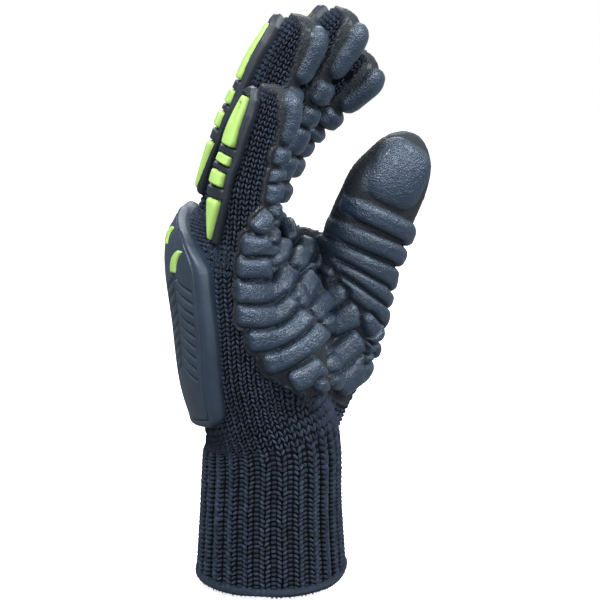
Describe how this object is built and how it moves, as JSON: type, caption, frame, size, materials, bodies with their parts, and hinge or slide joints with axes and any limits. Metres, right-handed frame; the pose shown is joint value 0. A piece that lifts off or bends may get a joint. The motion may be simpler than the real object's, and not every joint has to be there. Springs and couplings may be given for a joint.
{
  "type": "work glove",
  "caption": "Right-hand knitted work glove as worn: ribbed cuff, foam-coated palm with raised pads, ribbed rubber back guard, and finger strips with green inserts.",
  "frame": {"origin": "centre of the cuff opening, in the plane of the hem's edge", "axes": "+Z from the cuff towards the fingertips; +X towards the thumb side; -Y the way the palm faces"},
  "size_m": [0.1036, 0.1143, 0.2496],
  "materials": {
    "knit": "knitted, matt",
    "hem": "rolled knit with overlock stitches, matt",
    "foam": "dipped foam, semi-gloss with fine wrinkles",
    "guard": "moulded, satin",
    "accent": "moulded, bright green, satin"
  },
  "bodies": {
    "root": {"knit_hand": "knit", "knit_index": "knit", "knit_middle": "knit", "knit_ring": "knit", "knit_little": "knit", "knit_thumb": "knit", "knit_cuff": "knit", "cuff_hem": "hem", "foam_index": "foam", "foam_middle": "foam", "foam_ring": "foam", "foam_little": "foam", "foam_palm": "foam", "back_guard": "guard", "guard_accent_1": "accent", "guard_accent_2": "accent", "guard_accent_3": "accent", "guard_accent_4": "accent", "index_strip": "guard", "index_insert_1": "accent", "index_insert_2": "accent", "index_insert_3": "accent", "index_insert_4": "accent", "middle_strip": "guard", "middle_insert_1": "accent", "middle_insert_2": "accent", "middle_insert_3": "accent", "middle_insert_4": "accent", "ring_strip": "guard", "ring_insert_1": "accent", "ring_insert_2": "accent", "ring_insert_3": "accent", "ring_insert_4": "accent", "little_strip": "guard", "little_insert_1": "accent", "little_insert_2": "accent", "little_insert_3": "accent", "little_insert_4": "accent"}
  },
  "joints": []
}
